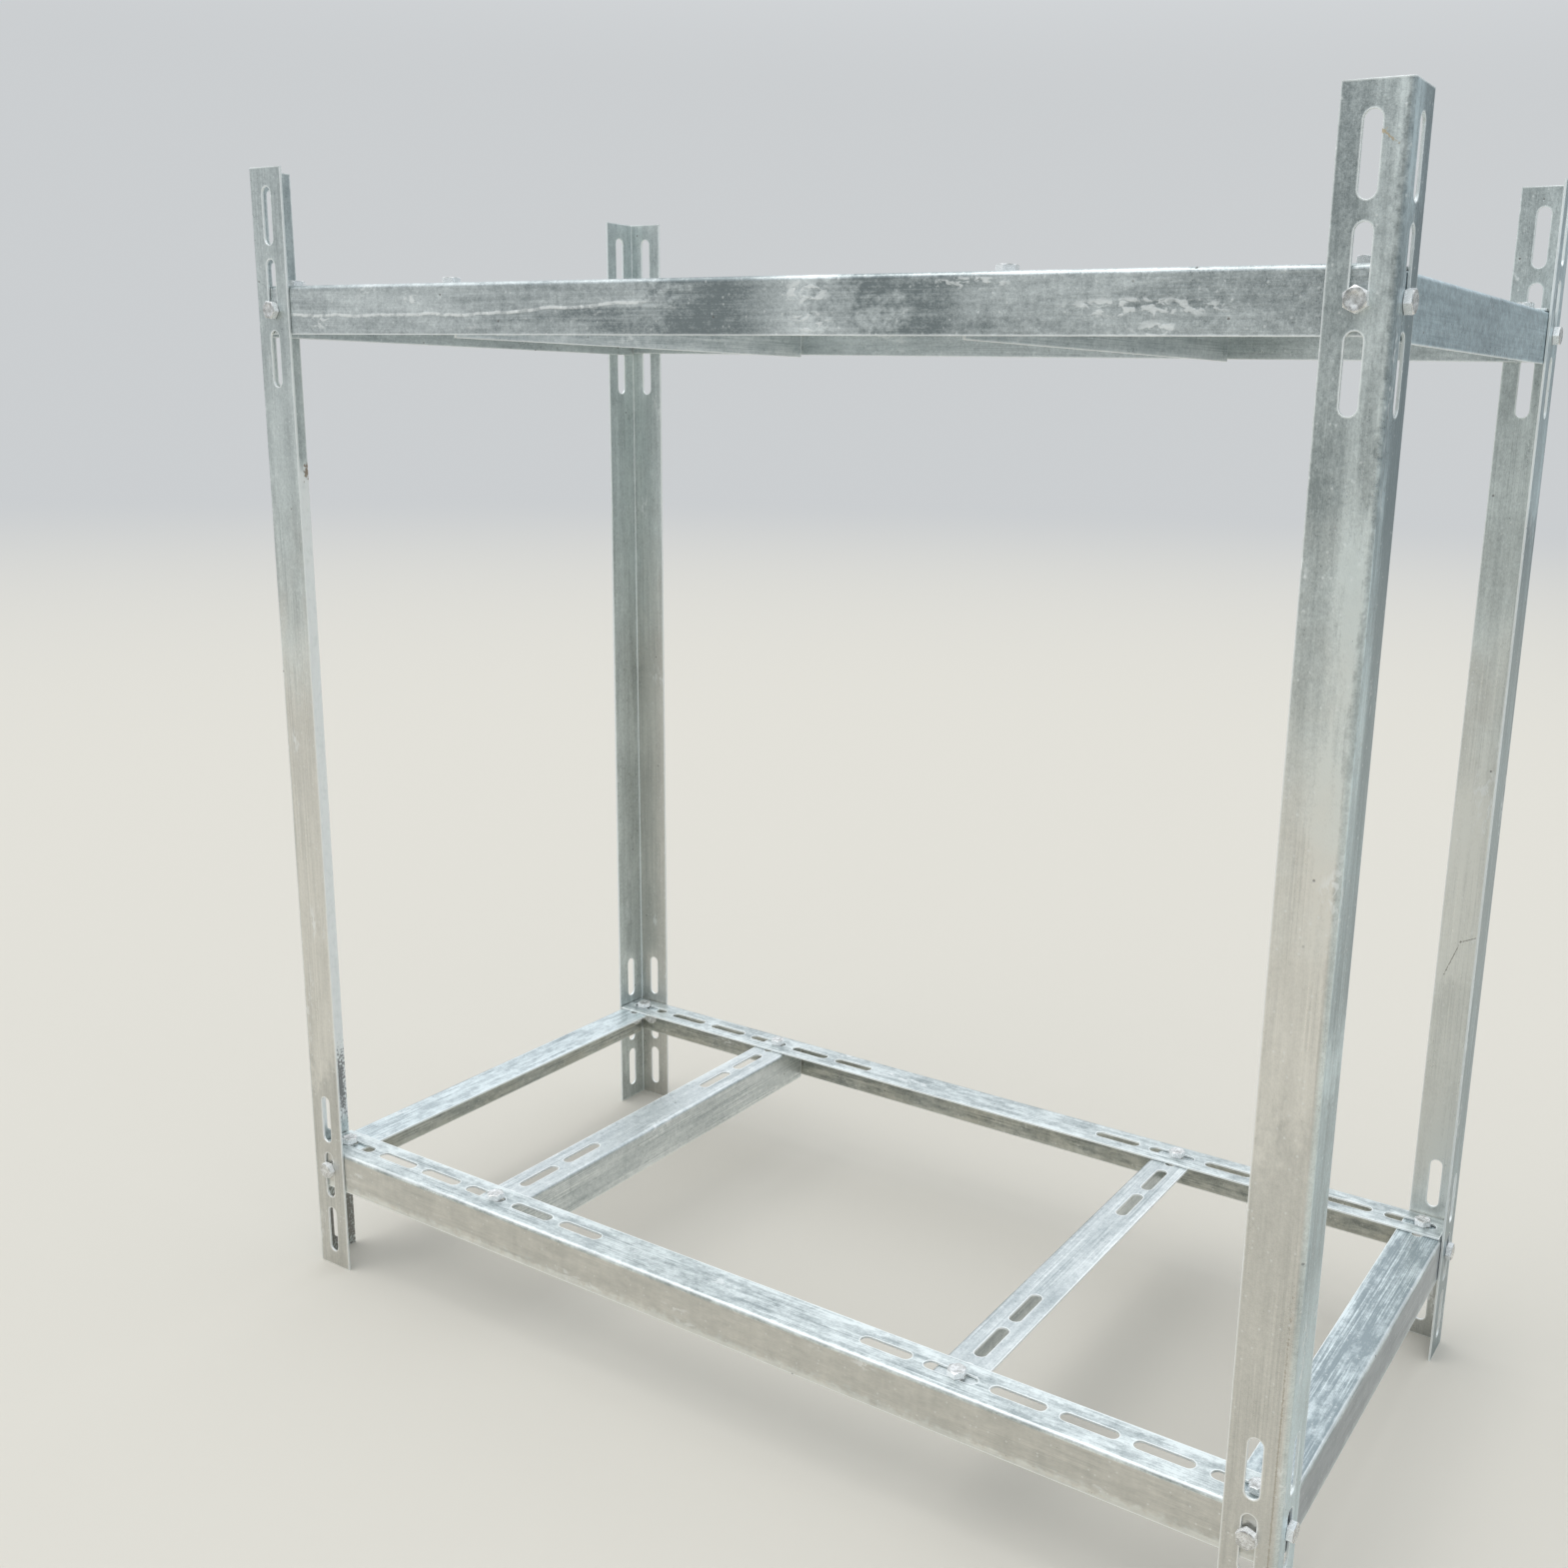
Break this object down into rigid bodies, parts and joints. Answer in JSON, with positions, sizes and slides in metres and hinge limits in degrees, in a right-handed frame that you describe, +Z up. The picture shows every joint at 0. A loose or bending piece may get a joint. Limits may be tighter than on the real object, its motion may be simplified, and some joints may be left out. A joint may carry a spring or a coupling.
{
  "type": "air conditioner floor stand",
  "caption": "Floor stand for an air conditioner's outdoor unit: slotted galvanised angle legs bolted to a lower and an upper frame of slotted rails and cross members.",
  "frame": {"origin": "on the floor under the middle of the stand, at the middle of the bounding box's bottom face", "axes": "+Z up along the legs, +X along the stand's width towards its right seen from the front, -Y towards the front, where the unit blows"},
  "size_m": [1.0112, 0.5112, 1.05],
  "materials": {
    "leg_zinc": "hot-dip galvanised, mottled blue-grey with warm stains low down, fine lengthwise streaks",
    "rail_zinc": "hot-dip galvanised, brighter on top, mottled with drip lines and lengthwise streaks",
    "cross_zinc": "hot-dip galvanised, clean and bright with lengthwise streaks",
    "bolt_zinc": "bright zinc plating, slightly rough"
  },
  "bodies": {
    "root": {"leg_front_left": "leg_zinc", "leg_front_right": "leg_zinc", "leg_rear_left": "leg_zinc", "leg_rear_right": "leg_zinc", "lower_rail_front": "rail_zinc", "lower_rail_rear": "rail_zinc", "lower_side_rail_left": "rail_zinc", "lower_side_rail_right": "rail_zinc", "lower_cross_member_left": "cross_zinc", "lower_cross_member_left_bolt_front": "bolt_zinc", "lower_cross_member_left_bolt_rear": "bolt_zinc", "lower_cross_member_right": "cross_zinc", "lower_cross_member_right_bolt_front": "bolt_zinc", "lower_cross_member_right_bolt_rear": "bolt_zinc", "lower_front_left_rail_bolt": "bolt_zinc", "lower_front_left_side_bolt": "bolt_zinc", "lower_front_left_corner_bolt": "bolt_zinc", "lower_rear_left_rail_bolt": "bolt_zinc", "lower_rear_left_side_bolt": "bolt_zinc", "lower_rear_left_corner_bolt": "bolt_zinc", "lower_front_right_rail_bolt": "bolt_zinc", "lower_front_right_side_bolt": "bolt_zinc", "lower_front_right_corner_bolt": "bolt_zinc", "lower_rear_right_rail_bolt": "bolt_zinc", "lower_rear_right_side_bolt": "bolt_zinc", "lower_rear_right_corner_bolt": "bolt_zinc", "upper_rail_front": "rail_zinc", "upper_rail_rear": "rail_zinc", "upper_side_rail_left": "rail_zinc", "upper_side_rail_right": "rail_zinc", "upper_cross_member_left": "cross_zinc", "upper_cross_member_left_bolt_front": "bolt_zinc", "upper_cross_member_left_bolt_rear": "bolt_zinc", "upper_cross_member_right": "cross_zinc", "upper_cross_member_right_bolt_front": "bolt_zinc", "upper_cross_member_right_bolt_rear": "bolt_zinc", "upper_front_left_rail_bolt": "bolt_zinc", "upper_front_left_side_bolt": "bolt_zinc", "upper_front_left_corner_bolt": "bolt_zinc", "upper_rear_left_rail_bolt": "bolt_zinc", "upper_rear_left_side_bolt": "bolt_zinc", "upper_rear_left_corner_bolt": "bolt_zinc", "upper_front_right_rail_bolt": "bolt_zinc", "upper_front_right_side_bolt": "bolt_zinc", "upper_front_right_corner_bolt": "bolt_zinc", "upper_rear_right_rail_bolt": "bolt_zinc", "upper_rear_right_side_bolt": "bolt_zinc", "upper_rear_right_corner_bolt": "bolt_zinc"}
  },
  "joints": []
}
